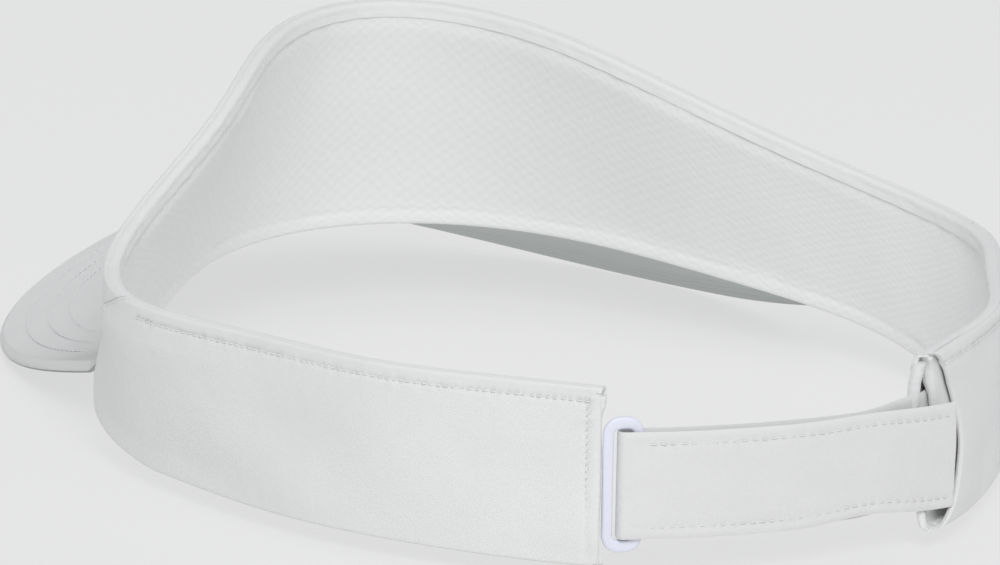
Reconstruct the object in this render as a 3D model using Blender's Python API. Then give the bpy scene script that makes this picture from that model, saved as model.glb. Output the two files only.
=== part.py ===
"""Sun visor: crown band with its lining, brim, slide loop and hook-and-loop closure strap.

World units are metres with +Z up. The brim points to -Y and the wearer's left is +X.
Sizes below are millimetres and degrees. An angle round the head is 0 at the front and
positive towards the wearer's left, and a depth is measured inwards from the band's outer face.
"""
import math

import bmesh
import bpy
import numpy as np
from mathutils import Matrix, Vector

MM = 0.001
GAP = 0.3                        # clearance kept between neighbouring pieces

# Band plan: radius of the bottom edge, and how far the top edge stands out from it,
# at even steps of angle from the front centre to the back centre.
BOTTOM_RADIUS = (108.0, 99.4, 88.2, 88.5, 83.4, 81.3, 84.3, 92.3, 97.9)
TOP_LEAN = (-7.2, -13.2, -10.2, -3.6, 3.8, -0.4, -0.7, -2.4, 2.8)

# Heights of the band's edges: level from the temples back, rising to the front.
BAND_HEIGHT = 32.0
FRONT_TOP_RISE = 30.5
FRONT_BOTTOM_RISE = 15.4

# Angles that divide the band.
LEFT_END = 159.3
RIGHT_END = -158.0
POCKET_SCOOP = 7.0               # the outer panel's right end is cut back by this at mid height
SEAM_BOTTOM = 60.5
SEAM_TOP = 87.0
SEAM_HALF_GAP = 0.12
STEP = 5.0                       # largest angle one facet spans

# Layers through the band, each given as the depths of its two faces.
OUTER = (0.0, 0.6)
CORE = (1.05, 1.75)
FRONT_CORE = 52.0                # the stiffener's ends
SIDE_CORE = (96.0, 150.0, 138.0)  # front end, left rear end and right rear end of the interlinings
LINING = (2.25, 2.95)
LINING_SETBACK = 0.6             # degrees by which the lining stops short, to clear the loop
BINDING_FACE = (3.3, 3.9)
BINDING_BACK = 1.6
BINDING_DROP = 2.4
BINDING_ROLL = 0.9
OUTER_FLARE = 1.4                # the outer panel stands off at the tail pocket
LINING_FLARE = 1.7               # and the lining gives way on the inside
FLARE_START = -140.0
FLARE_FULL = -151.0
FACING = (1.5, 1.9)
FACING_END = -146.5

# Brim.
BRIM_END = 60.5
BRIM_REACH = 55.9
BRIM_FULLNESS = 1.93
BRIM_WIDENING = 20.3
BRIM_SLOPE = 0.173
BRIM_ARCH = 0.40                 # the outline's fall per millimetre sideways, away from the middle
BRIM_CREST = 28.2                # size of the rounded middle the fall starts from
BRIM_COVER = 0.5
BRIM_BOARD = 1.0
BRIM_LIFT = 2.6                  # the top cover meets the front panel this far above its bottom edge
BRIM_EDGE_LIFT = 3.5             # and its outline is raised by this
BRIM_SWEEP = 87.0                # half the angle the outline runs through
BRIM_ROW_INSETS = (8.0, 14.5, 21.0)

# Slide loop: a flat moulded ring whose bars stand upright.
LOOP_LENGTH = 7.4
LOOP_HEIGHT = 24.7
LOOP_BAR = 1.9
LOOP_THICKNESS = 1.3
LOOP_CORNER = 3.2
LOOP_END_EXTRA = 0.4             # the end bars are this much wider than the long ones
LOOP_HOLE_CORNER = 1.0
LOOP_EDGE = 0.3
LOOP_Z = 14.35
LOOP_GAP = 0.12                  # between the left end and the near bar
FLANGE_ANGLES = (152.8, 158.2)

# Closure strap.
STRAP_RADIUS = 118.0
TAPE_WIDTH = 19.5
TAPE = 0.7
TAPE_CLEARANCE = 0.45            # between the tape and the bar it wraps
PAD = 0.65
PAD_WIDTH = 15.0
STRAP_END_Z = 13.2
ROOT_DEPTH = 3.2
ROOT_LENGTH = 8.0
TWIST_LENGTH = 9.0               # the inner layer leans with the band over this length
ROOT_RISE = 1.6                  # the inner layer climbs towards its root
CLIMB_LENGTH = 16.0
TURN_SLACK = 1.3                 # the tape passes the free bar by this before it turns
TAIL_LENGTH = 34.0
TAIL_REACH = 6.0                 # the tail's end lies past the band's right end
HOOK_LENGTH = 14.0
THREAD = 0.2                     # thread radius
THREAD_DEPTH = -0.55             # a thread's centre stands this far off its panel

# Stitch rows, as angles round the band and shares of its height.
HEM_ROW = 0.93
LEFT_HEM_ANGLES = (93.0, 156.0)
RIGHT_HEM_ANGLES = (-93.0, -145.0)
SEAM_ROW_OFFSET = 1.6
LEFT_END_BOX = (157.2, 158.2)
FLANGE_BOX = (153.9, 155.7)
RIGHT_END_BOX = (-144.0, -145.0)
ROOT_BOX = (-154.0, -155.5)


# ---------------------------------------------------------------- materials and scene

def clear_scene():
    for item in list(bpy.data.objects):
        bpy.data.objects.remove(item, do_unlink=True)


def make_material(name, color, roughness, metallic=0.0):
    material = bpy.data.materials.new(name)
    material.use_nodes = True
    shader = material.node_tree.nodes["Principled BSDF"]
    shader.inputs["Base Color"].default_value = (*color, 1.0)
    shader.inputs["Roughness"].default_value = roughness
    shader.inputs["Metallic"].default_value = metallic
    return material


def add_object(name, mesh, color, roughness=0.85):
    data = bpy.data.meshes.new(name)
    bmesh.ops.recalc_face_normals(mesh, faces=mesh.faces)
    mesh.to_mesh(data)
    mesh.free()
    data.shade_smooth()
    data.set_sharp_from_angle(angle=math.radians(35))
    item = bpy.data.objects.new(name, data)
    bpy.context.scene.collection.objects.link(item)
    data.materials.append(make_material(name, color, roughness))
    return item


CLOTH = (0.71, 0.71, 0.72)
KNIT = (0.66, 0.66, 0.67)
CORE_WHITE = (0.60, 0.60, 0.58)
UNDER = (0.40, 0.42, 0.42)
TAPE_WHITE = (0.76, 0.76, 0.77)
PLASTIC = (0.77, 0.78, 0.85)
THREAD_WHITE = (0.74, 0.74, 0.75)
PAD_WHITE = (0.68, 0.68, 0.69)


# ---------------------------------------------------------------- shape of the band

def even_curve(values):
    """Smooth closed curve through values at even steps from 0 to 180 degrees, mirrored."""
    orders = np.arange(len(values))
    angles = np.linspace(0.0, math.pi, len(values))
    weights = np.linalg.solve(np.cos(np.outer(angles, orders)), np.array(values))
    return lambda angle: float(np.cos(angle * orders) @ weights)


bottom_radius = even_curve(BOTTOM_RADIUS)
top_lean = even_curve(TOP_LEAN)


def edge_heights(degrees):
    forward = max(math.cos(math.radians(degrees)), 0.0)
    bottom = FRONT_BOTTOM_RISE * forward ** 1.25
    top = BAND_HEIGHT + FRONT_TOP_RISE * forward ** 2
    return bottom, top


def plan_point(degrees, across):
    angle = math.radians(degrees)
    radius = bottom_radius(angle) + across * top_lean(angle)
    return Vector((radius * math.sin(angle), -radius * math.cos(angle), 0.0))


def plan_normal(degrees, across):
    ahead = plan_point(degrees + 0.5, across) - plan_point(degrees - 0.5, across)
    return Vector((ahead.y, -ahead.x, 0.0)).normalized()


def band_point(degrees, across, depth, rise=0.0):
    """Point on the band; across runs from 0 at the bottom edge to 1 at the top edge."""
    bottom, top = edge_heights(degrees)
    point = plan_point(degrees, across) - depth * plan_normal(degrees, across)
    point.z = bottom + across * (top - bottom) + rise
    return point


def ease(t):
    t = min(max(t, 0.0), 1.0)
    return t * t * (3.0 - 2.0 * t)


def pocket_flare(degrees):
    """0 along the band, 1 where the right end opens into the tail pocket."""
    return ease((FLARE_START - degrees) / (FLARE_START - FLARE_FULL))


def seam_angle(across):
    return SEAM_BOTTOM + across ** 2 * (SEAM_TOP - SEAM_BOTTOM)


def right_end_angle(across):
    """The pocket mouth: full length at the edges and cut back between them."""
    return RIGHT_END + POCKET_SCOOP * math.sqrt(max(math.sin(math.pi * across), 0.0))


# ---------------------------------------------------------------- mesh builders

def cap(mesh, ring, sheet):
    """Close an end. A sheet's section goes out and back, so its end is a strip of quads."""
    if not sheet:
        mesh.faces.new(ring)
        return
    last = len(ring) - 1
    for k in range(len(ring) // 2 - 1):
        mesh.faces.new((ring[k], ring[k + 1], ring[last - k - 1], ring[last - k]))


def loft(name, rings, color, roughness=0.85, sheet=True):
    """Closed solid through rings of points, with its first and last ring filled."""
    mesh = bmesh.new()
    rows = [[mesh.verts.new(point * MM) for point in ring] for ring in rings]
    for here, there in zip(rows, rows[1:]):
        for k in range(len(here)):
            n = (k + 1) % len(here)
            mesh.faces.new((here[k], here[n], there[n], there[k]))
    cap(mesh, rows[0], sheet)
    cap(mesh, rows[-1], sheet)
    return add_object(name, mesh, color, roughness)


def band_sweep(name, start, end, profile, color, flare=0.0, sheet=True):
    """Sweep a profile of (across, rise, depth) points round the band.

    start and end give the angle at each height, so an end can follow a slanting seam.
    """
    widest = max(abs(end(a) - start(a)) for a in (0.0, 1.0))
    count = max(int(math.ceil(widest / STEP)), 1)
    rings = []
    for i in range(count + 1):
        t = i / count
        ring = []
        for across, rise, depth in profile:
            degrees = start(across) + t * (end(across) - start(across))
            ring.append(band_point(degrees, across, depth + flare * pocket_flare(degrees), rise))
        rings.append(ring)
    return loft(name, rings, color, sheet=sheet)


def sheet_profile(depths, low=0.0, high=1.0, high_rise=0.0, rows=2):
    """Closed section of a sheet that fills the band's height between two depths."""
    section = []
    for depth, order in ((depths[0], 1), (depths[1], -1)):
        for r in range(rows + 1)[::order]:
            t = r / rows
            section.append((low + t * (high - low), t * high_rise, depth))
    return section


def fixed(angle):
    return lambda across: angle


def thread(name, points, closed=False):
    """Continuous run of sewing thread along points in millimetres."""
    data = bpy.data.curves.new(name, "CURVE")
    data.dimensions = "3D"
    data.bevel_depth = THREAD * MM
    data.bevel_resolution = 0
    data.resolution_u = 1
    data.render_resolution_u = 0
    data.use_fill_caps = True
    spline = data.splines.new("POLY")
    spline.points.add(len(points) - 1)
    for slot, point in zip(spline.points, points):
        slot.co = (*(point * MM), 1.0)
    spline.use_cyclic_u = closed
    data.materials.append(make_material(name, THREAD_WHITE, 0.6))
    item = bpy.data.objects.new(name, data)
    bpy.context.scene.collection.objects.link(item)
    return item


# ---------------------------------------------------------------- crown band

def make_band():
    """Front panel, two side panels and what lies behind them."""
    outer = sheet_profile(OUTER, rows=8)
    front_edge = lambda across: seam_angle(across) - SEAM_HALF_GAP
    side_edge = lambda across: seam_angle(across) + SEAM_HALF_GAP
    parts = [
        band_sweep("front_panel_outer", lambda a: -front_edge(a), front_edge, outer, CLOTH),
        band_sweep("left_side_outer", side_edge, fixed(LEFT_END), outer, CLOTH),
        band_sweep("right_side_outer", lambda a: -side_edge(a), right_end_angle, outer, CLOTH, -OUTER_FLARE)]
    core = sheet_profile(CORE, 0.05, 0.93)
    thin_core = sheet_profile((CORE[0], CORE[0] + 0.5), 0.1, 0.88)
    parts.append(band_sweep("front_stiffener", fixed(-FRONT_CORE), fixed(FRONT_CORE), core, CORE_WHITE))
    parts.append(band_sweep("left_interlining", fixed(SIDE_CORE[0]), fixed(SIDE_CORE[1]), thin_core,
                            CORE_WHITE))
    parts.append(band_sweep("right_interlining", fixed(-SIDE_CORE[0]), fixed(-SIDE_CORE[2]), thin_core,
                            CORE_WHITE))
    lining = sheet_profile(LINING, high_rise=-BINDING_ROLL - GAP)
    parts.append(band_sweep("band_lining", fixed(RIGHT_END), fixed(LEFT_END - LINING_SETBACK), lining, KNIT,
                            LINING_FLARE))
    roll = [(1.0, 0.0, BINDING_BACK), (1.0, -BINDING_ROLL, BINDING_BACK),
            (1.0, -BINDING_ROLL, BINDING_FACE[0]),
            (1.0, -BINDING_ROLL - BINDING_DROP, BINDING_FACE[0]),
            (1.0, -BINDING_ROLL - BINDING_DROP, BINDING_FACE[1]), (1.0, 0.0, BINDING_FACE[1])]
    parts.append(band_sweep("top_binding", fixed(RIGHT_END), fixed(LEFT_END), roll, CLOTH, LINING_FLARE,
                            sheet=False))
    facing = sheet_profile(FACING, 0.14, 0.8)
    parts.append(band_sweep("right_end_facing", fixed(RIGHT_END), fixed(FACING_END), facing, CLOTH))
    return parts


def edge_row(start, end, across):
    """Points of a stitch row that runs round the band."""
    count = int(round(abs(end - start) / STEP))
    return [band_point(start + (end - start) * i / count, across,
                       THREAD_DEPTH - OUTER_FLARE * pocket_flare(start + (end - start) * i / count))
            for i in range(count + 1)]


def upright_box(first, second, low, high, depth):
    """Corner points of a narrow box of stitching between two angles."""
    steps = 4
    up = [band_point(first, low + (high - low) * i / steps, depth) for i in range(steps + 1)]
    down = [band_point(second, high - (high - low) * i / steps, depth) for i in range(steps + 1)]
    return up + down


def make_band_threads():
    parts = [thread("left_top_stitch", edge_row(*LEFT_HEM_ANGLES, HEM_ROW)),
             thread("right_top_stitch", edge_row(*RIGHT_HEM_ANGLES, HEM_ROW))]
    for name, side in (("left_seam_stitch", 1.0), ("right_seam_stitch", -1.0)):
        row = [band_point(side * (seam_angle(a) + SEAM_ROW_OFFSET), a, THREAD_DEPTH)
               for a in np.linspace(0.02, 0.9, 9)]
        parts.append(thread(name, row))
    parts.append(thread("left_end_stitch", upright_box(*LEFT_END_BOX, 0.05, 0.95, THREAD_DEPTH), True))
    parts.append(thread("flange_stitch", upright_box(*FLANGE_BOX, 0.2, 0.78, THREAD_DEPTH), True))
    pocket_depth = THREAD_DEPTH - OUTER_FLARE * pocket_flare(sum(RIGHT_END_BOX) / 2)
    parts.append(thread("right_end_stitch", upright_box(*RIGHT_END_BOX, 0.08, 0.88, pocket_depth), True))
    root_depth = LINING[1] + LINING_FLARE - THREAD_DEPTH
    parts.append(thread("strap_root_stitch", upright_box(*ROOT_BOX, 0.15, 0.75, root_depth), True))
    return parts


# ---------------------------------------------------------------- brim

def brim_height(x, y):
    front = bottom_radius(0.0)
    fall = BRIM_ARCH * (math.hypot(x, BRIM_CREST) - BRIM_CREST)
    return FRONT_BOTTOM_RISE + BRIM_EDGE_LIFT + BRIM_SLOPE * (front + y) - fall


def brim_outline(t):
    """Plan outline of the brim; t runs from -1 at the right end to 1 at the left end."""
    corner = plan_point(BRIM_END, 0.0)
    phase = math.radians(BRIM_SWEEP) * t
    side, reach = math.sin(phase), math.cos(phase)
    tip = -bottom_radius(0.0) - BRIM_REACH
    x = corner.x * math.copysign(abs(side) ** (2.0 / BRIM_FULLNESS), side) + BRIM_WIDENING * side * reach
    y = corner.y + (tip - corner.y) * reach ** (2.0 / BRIM_FULLNESS)
    return Vector((x, y, brim_height(x, y)))


def brim_point(t, out, shift, drop):
    """Point on the brim: out is 0 under the band and 1 at the outline, shift is extra travel."""
    root = band_point(BRIM_END * t, 0.0, -GAP, BRIM_LIFT)
    edge = brim_outline(t)
    ahead = (edge - root).normalized()
    point = root.lerp(edge, out) + shift * ahead
    point.z -= drop
    return point


def brim_loft(name, section, color, span=1.0, columns=28):
    ts = [span * (2.0 * i / columns - 1.0) for i in range(columns + 1)]
    return loft(name, [[brim_point(t, *entry) for entry in section] for t in ts], color)


def make_brim():
    lip = BRIM_COVER + GAP + BRIM_BOARD
    under = lip + GAP
    rows = (0.0, 0.35, 0.7)
    top = [(r, 0.0, 0.0) for r in rows] + [(1.0, 0.0, 0.0), (1.0, 0.0, lip), (1.0, -0.5, lip),
                                           (1.0, -0.5, BRIM_COVER)]
    top += [(r, 0.0, BRIM_COVER) for r in rows[::-1]]
    board_top = BRIM_COVER + GAP
    board = [(0.0, 0.6, board_top), (0.35, 0.0, board_top), (0.7, 0.0, board_top), (1.0, -0.9, board_top),
             (1.0, -0.9, lip), (0.7, 0.0, lip), (0.35, 0.0, lip), (0.0, 0.6, lip)]
    bottom = [(r, 0.0, under) for r in rows] + [(1.0, 0.0, under), (1.0, -0.4, under + BRIM_COVER)]
    bottom += [(r, 0.0, under + BRIM_COVER) for r in rows[::-1]]
    parts = [brim_loft("brim_top_cover", top, CLOTH), brim_loft("brim_board", board, CORE_WHITE, 0.96),
             brim_loft("brim_bottom_cover", bottom, UNDER)]
    for number, inset in enumerate(BRIM_ROW_INSETS, 1):
        reach = 0.96 - 0.05 * number
        row = [brim_point(t, 1.0, -inset, THREAD_DEPTH) for t in np.linspace(-reach, reach, 25)]
        parts.append(thread("brim_stitch_%d" % number, row))
    return parts


# ---------------------------------------------------------------- slide loop and strap

class Closure:
    """Where the strap runs: an arc from the loop's free bar to the band's right end."""

    def __init__(self):
        bar_offset = TAPE_CLEARANCE + LOOP_THICKNESS / 2 + TAPE / 2
        hem = band_point(LEFT_END, 0.5, (CORE[0] + CORE[1]) / 2)
        self.root = band_point(RIGHT_END, 0.5, ROOT_DEPTH)
        self.root.z = hem.z = 0.0
        heading = Vector((-plan_normal(LEFT_END, 0.5).y, plan_normal(LEFT_END, 0.5).x, 0.0))
        for _ in range(6):
            outward = Vector((heading.y, -heading.x, 0.0))
            if outward.y < 0.0:
                outward = -outward
            self.near_bar = hem + heading * (LOOP_BAR / 2 + LOOP_GAP)
            self.bar = self.near_bar + heading * (LOOP_LENGTH - LOOP_BAR)
            start = self.bar - outward * bar_offset
            chord = self.root - start
            angle = math.asin(chord.length / (2.0 * STRAP_RADIUS))
            side = Vector((chord.y, -chord.x, 0.0)).normalized()
            if side.y > 0.0:
                side = -side
            middle = (start + self.root) / 2
            self.centre = middle + side * STRAP_RADIUS * math.cos(angle)
            spoke = (start - self.centre).normalized()
            heading = Vector((-spoke.y, spoke.x, 0.0))
        self.heading = heading
        self.outward = spoke
        self.length = STRAP_RADIUS * 2.0 * angle
        self.bar_offset = bar_offset
        self.start_angle = math.atan2(spoke.x, spoke.y)

    def middle_height(self, along):
        return LOOP_Z + (STRAP_END_Z - LOOP_Z) * along / self.length

    def point(self, along, height, outward=0.0):
        """along from the free bar, height from the strap's middle, outward from the inner layer."""
        angle = self.start_angle - along / STRAP_RADIUS
        reach = STRAP_RADIUS + outward
        return Vector((self.centre.x + reach * math.sin(angle), self.centre.y + reach * math.cos(angle),
                       self.middle_height(along) + height))


def climb(path, along):
    """How far the inner layer has risen towards its root."""
    return ROOT_RISE * ease((along - path.length + CLIMB_LENGTH) / CLIMB_LENGTH)


def strap_base(path, start):
    """Inner layer of the strap, then its root, which bends into the right end of the band."""
    half = TAPE / 2
    lean = -top_lean(math.radians(RIGHT_END)) / BAND_HEIGHT
    corners = ((-1, -half), (-1, half), (1, half), (1, -half))
    rings = []
    for s in np.linspace(start, path.length - 1.0, 12):
        twist = max(s - path.length + TWIST_LENGTH, 0.0) / TWIST_LENGTH * lean * TAPE_WIDTH / 2
        rings.append([path.point(s, h * TAPE_WIDTH / 2 + climb(path, s), o - h * twist) for h, o in corners])
    for into in (ROOT_LENGTH / 8, ROOT_LENGTH / 2, ROOT_LENGTH):
        degrees = RIGHT_END + math.degrees(into / bottom_radius(math.radians(RIGHT_END)))
        rings.append([band_point(degrees, (STRAP_END_Z + ROOT_RISE + h * TAPE_WIDTH / 2) / BAND_HEIGHT,
                                 ROOT_DEPTH - o) for h, o in corners])
    return loft("strap_base", rings, TAPE_WHITE)


def strap_slab(name, path, start, end, width, inner, outer, color):
    """Flat length of tape between two distances along the strap."""
    count = max(int(math.ceil((end - start) / 7.0)), 1)
    rings = []
    for i in range(count + 1):
        s = start + (end - start) * i / count
        rings.append([path.point(s, h, o) for h, o in
                      ((-width / 2, inner), (-width / 2, outer), (width / 2, outer), (width / 2, inner))])
    return loft(name, rings, color)


def strap_turn(path):
    """Tape from the inner layer, round past the loop's free bar and back to the outer layer."""
    half = TAPE / 2
    outer_layer = 2.0 * path.bar_offset
    first = -LOOP_BAR / 2
    last = first - TURN_SLACK
    corners = ((-1, -half), (-1, half), (1, half), (1, -half))
    inner = [[path.point(s, h * TAPE_WIDTH / 2, o) for h, o in corners] for s in (first, last)]
    outer = [[path.point(s, h * TAPE_WIDTH / 2, outer_layer - o) for h, o in corners] for s in (last, first)]
    mid = path.point(last, 0.0, path.bar_offset)
    spoke = (path.point(last, 0.0, 1.0) - path.point(last, 0.0)).normalized()
    heading = Vector((-spoke.y, spoke.x, 0.0))
    steps = 8
    turn = []
    for i in range(1, steps):
        angle = math.pi * i / steps
        aim = -spoke * math.cos(angle) - heading * math.sin(angle)
        turn.append([mid + aim * (path.bar_offset - o) + Vector((0.0, 0.0, h * TAPE_WIDTH / 2))
                     for h, o in corners])
    return loft("strap_turn", inner + turn + outer, TAPE_WHITE)


def rounded_outline(length, height, corner, steps=4):
    """Rounded rectangle as (along, up) pairs, centred on zero."""
    pairs = []
    for quarter, (sx, sy) in enumerate(((1, 1), (-1, 1), (-1, -1), (1, -1))):
        for k in range(steps + 1):
            angle = math.radians(90.0 * quarter + 90.0 * k / steps)
            pairs.append((sx * (length / 2 - corner) + corner * math.cos(angle),
                          sy * (height / 2 - corner) + corner * math.sin(angle)))
    return pairs


def make_loop(path):
    """Slide loop, with every long edge chamfered so that the tape runs easily."""
    centre = (path.bar + path.near_bar) / 2
    half, edge = LOOP_THICKNESS / 2, LOOP_EDGE
    hole_length = LOOP_LENGTH - 2 * LOOP_BAR
    hole_height = LOOP_HEIGHT - 2 * (LOOP_BAR + LOOP_END_EXTRA)
    section = ((0.0, True, half - edge), (edge, True, half), (edge, False, half), (0.0, False, half - edge),
               (0.0, False, edge - half), (edge, False, -half), (edge, True, -half), (0.0, True, edge - half))
    rings = []
    for inset, outside, outward in section:
        if outside:
            pairs = rounded_outline(LOOP_LENGTH - 2 * inset, LOOP_HEIGHT - 2 * inset, LOOP_CORNER - inset)
        else:
            pairs = rounded_outline(hole_length + 2 * inset, hole_height + 2 * inset,
                                    LOOP_HOLE_CORNER + inset)
        rings.append([centre + path.heading * a + Vector((0, 0, LOOP_Z + u)) + path.outward * outward
                      for a, u in pairs])
    mesh = bmesh.new()
    rows = [[mesh.verts.new(point * MM) for point in ring] for ring in rings]
    for here, there in zip(rows, rows[1:] + rows[:1]):
        for k in range(len(here)):
            n = (k + 1) % len(here)
            mesh.faces.new((here[k], here[n], there[n], there[k]))
    return add_object("slide_loop", mesh, PLASTIC, 0.35)


def tape_threads(name, path, start, end, outward):
    """Box of stitching along both edges of a length of tape."""
    reach = TAPE_WIDTH / 2 - 2.0
    count = max(int(math.ceil((end - start) / 7.0)), 1)
    stops = [start + (end - start) * i / count for i in range(count + 1)]
    points = [path.point(s, reach, outward) for s in stops]
    points += [path.point(s, -reach, outward) for s in stops[::-1]]
    return thread(name, points, True)


def make_closure(path):
    """Strap pieces in the order the tape runs, grouped by the body each belongs to."""
    half = TAPE / 2
    outer_layer = 2.0 * path.bar_offset
    first = -LOOP_BAR / 2 + GAP
    tail_end = path.length + TAIL_REACH
    tail_start = tail_end - TAIL_LENGTH
    base = strap_base(path, first)
    pile = strap_slab("pile_patch", path, 6.0, path.length - TWIST_LENGTH, PAD_WIDTH, half + GAP,
                      half + GAP + PAD, PAD_WHITE)
    web = strap_slab("strap_web", path, first, tail_start - GAP, TAPE_WIDTH, outer_layer - half,
                     outer_layer + half, TAPE_WHITE)
    tail = strap_slab("strap_tail", path, tail_start, tail_end, TAPE_WIDTH, outer_layer - half,
                      outer_layer + half, TAPE_WHITE)
    hook = strap_slab("hook_patch", path, tail_start + 1.0, tail_start + 1.0 + HOOK_LENGTH, PAD_WIDTH,
                      outer_layer - half - GAP - PAD, outer_layer - half - GAP, PAD_WHITE)
    face = outer_layer + half + GAP + THREAD
    web_rows = tape_threads("web_stitch", path, 2.0, tail_start - 1.5, face)
    tail_rows = tape_threads("tail_stitch", path, tail_start + 0.6, tail_end - 2.0, face)
    flange = band_sweep("loop_flange", fixed(FLANGE_ANGLES[0]), fixed(FLANGE_ANGLES[1]),
                        sheet_profile(CORE, 0.14, 0.82), PLASTIC)
    return {"crown": [base, pile, flange], "loop": [make_loop(path)],
            "turn": [strap_turn(path), web, web_rows], "tail": [tail, hook, tail_rows]}


# ---------------------------------------------------------------- assembly

def pivot(name, place, height, parent):
    empty = bpy.data.objects.new(name, None)
    empty.empty_display_size = 0.01
    empty.location = Vector((place.x, place.y, height)) * MM
    empty.parent = parent
    bpy.context.scene.collection.objects.link(empty)
    return empty


def hang(items, empty):
    """Parent finished pieces to an empty without moving them."""
    for item in items:
        item.parent = empty
        item.matrix_parent_inverse = Matrix.Translation(-empty.location)


def centre_on_origin(root, items):
    """Move the whole visor so that its box stands on the origin."""
    bpy.context.view_layer.update()
    corners = [item.matrix_world @ Vector(corner) for item in items for corner in item.bound_box]
    low = Vector([min(c[k] for c in corners) for k in range(3)])
    high = Vector([max(c[k] for c in corners) for k in range(3)])
    root.location = (-(low.x + high.x) / 2, -(low.y + high.y) / 2, -low.z)
    bpy.context.view_layer.update()


def build():
    clear_scene()
    root = bpy.data.objects.new("visor", None)
    bpy.context.scene.collection.objects.link(root)
    path = Closure()
    groups = make_closure(path)
    crown = make_band() + make_band_threads() + make_brim() + groups["crown"]
    hang(crown, root)
    loop_pivot = pivot("loop_pivot", path.near_bar, LOOP_Z, root)
    peel_pivot = pivot("peel_pivot", path.bar, LOOP_Z, root)
    slide_pivot = pivot("slide_pivot", path.centre, LOOP_Z, root)
    hang(groups["loop"], loop_pivot)
    hang(groups["turn"], peel_pivot)
    hang(groups["tail"], slide_pivot)
    centre_on_origin(root, crown + groups["loop"] + groups["turn"] + groups["tail"])


build()
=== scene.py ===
"""Looks of the sun visor: finished cloth, stitching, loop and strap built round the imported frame.

Shapes are worked out in millimetres in the band's own plan, where an angle round the head is 0
at the front and positive towards the wearer's left, and are placed in the frame by SHIFT.
"""
import math

import bmesh
import bpy
import numpy as np
from mathutils import Matrix, Vector


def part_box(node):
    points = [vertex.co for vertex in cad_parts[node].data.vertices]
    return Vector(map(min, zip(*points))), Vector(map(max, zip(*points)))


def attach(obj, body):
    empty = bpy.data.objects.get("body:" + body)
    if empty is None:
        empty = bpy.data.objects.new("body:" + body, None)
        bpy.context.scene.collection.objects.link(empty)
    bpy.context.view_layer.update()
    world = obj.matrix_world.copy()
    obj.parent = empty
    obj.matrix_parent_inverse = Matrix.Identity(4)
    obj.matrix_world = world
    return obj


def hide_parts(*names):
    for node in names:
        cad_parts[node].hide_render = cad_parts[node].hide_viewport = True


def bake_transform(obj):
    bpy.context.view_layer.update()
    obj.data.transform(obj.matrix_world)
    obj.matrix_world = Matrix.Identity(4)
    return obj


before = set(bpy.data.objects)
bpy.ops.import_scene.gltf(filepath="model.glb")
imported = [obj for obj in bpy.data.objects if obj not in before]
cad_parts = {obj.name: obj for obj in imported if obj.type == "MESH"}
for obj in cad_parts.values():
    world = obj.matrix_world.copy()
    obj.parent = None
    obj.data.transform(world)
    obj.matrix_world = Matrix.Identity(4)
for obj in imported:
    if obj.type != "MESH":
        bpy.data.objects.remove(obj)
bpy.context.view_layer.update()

MM = 0.001

# Band plan and edge heights, as the frame has them.
BOTTOM_RADIUS = (108.0, 99.4, 88.2, 88.5, 83.4, 81.3, 84.3, 92.3, 97.9)
TOP_LEAN = (-7.2, -13.2, -10.2, -3.6, 3.8, -0.4, -0.7, -2.4, 2.8)
BAND_HEIGHT = 32.0
FRONT_TOP_RISE = 30.5
FRONT_BOTTOM_RISE = 15.4
LEFT_END = 159.3
RIGHT_END = -158.0
POCKET_SCOOP = 5.4
SEAM_BOTTOM = 60.5
SEAM_TOP = 87.0
FLARE_START = -140.0
FLARE_FULL = -151.0
OUTER_FLARE = 1.4
LINING_FLARE = 2.6
SHIFT = np.array((0.0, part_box("front_panel_outer")[0].y / MM + BOTTOM_RADIUS[0],
                  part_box("left_side_outer")[0].z / MM))

# Cloth thicknesses, and the depths of the inner faces in from the shell's outer face.
SHELL = 0.5
KNIT = 0.6
BINDING_SHEET = 0.4
LINING_FACE = 2.7
BINDING_FACE = 3.1
BINDING_DROP = 3.3               # the binding's lower edge below the band's top edge

# Rolls along the band's edges and beads at its ends.
OUTER_ROLL = 0.62                # radius of the shell's turned edges
TURN_IN = 40.0                   # they turn to this angle, where 0 faces straight inwards
LINING_ROLL = 0.85
BINDING_ROLL = 0.85              # the binding's rolled top: its height and half its width
BINDING_HALF = 1.22
LEFT_BEAD = 0.7                  # radius of the left end's folded edge
MOUTH_BEAD = 0.6                 # radius of the pocket mouth's rolled edge
LINING_BEAD = 0.75
BINDING_BEAD = 0.5
LIP_START = 0.74                 # above this share of the height the inner beads are fatter
LIP_BLEND = 0.08
LINING_LIP = 0.35

# Where the lining and the binding stop, in degrees past the shell's ends.
LINING_PAST_RIGHT = 1.2
LINING_PAST_LEFT = 0.35
LINING_LOOP_CUT = 0.5            # the lining is cut back by this beside the loop
BINDING_PAST_RIGHT = 0.5
BINDING_PAST_LEFT = 0.1

# Seams and stitch rows.
SEAM_GAP = 0.04                  # degrees between a temple seam and the edge of each panel
SEAM_DIP = 0.22                  # the panels dip into the seams
SEAM_DIP_WIDTH = 0.7
SEAM_ROW = 1.7                   # the row behind each temple seam
SEAM_PITCH = 1.7
HEM_ROW = 2.6                    # the side panels' row below their top edge
HEM_PITCH = 1.45
HEM_SHARE = 0.92                 # its height as a share of the band's
END_ROW = 2.4                    # the upright row beside the left end
END_PITCH = 1.25
GROOVE_WIDTH = 0.55
PUCKER_WIDTH = 1.3
STITCH_LIFT = 0.12
STITCH_SUNK = 0.14
COLUMN = 0.42                    # spacing of mesh columns where the cloth puckers
END_STEP = 0.12                  # and at the ends of every sheet
SHARP_ANGLE = 50.0


# ---------------------------------------------------------------- shape of the band

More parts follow.
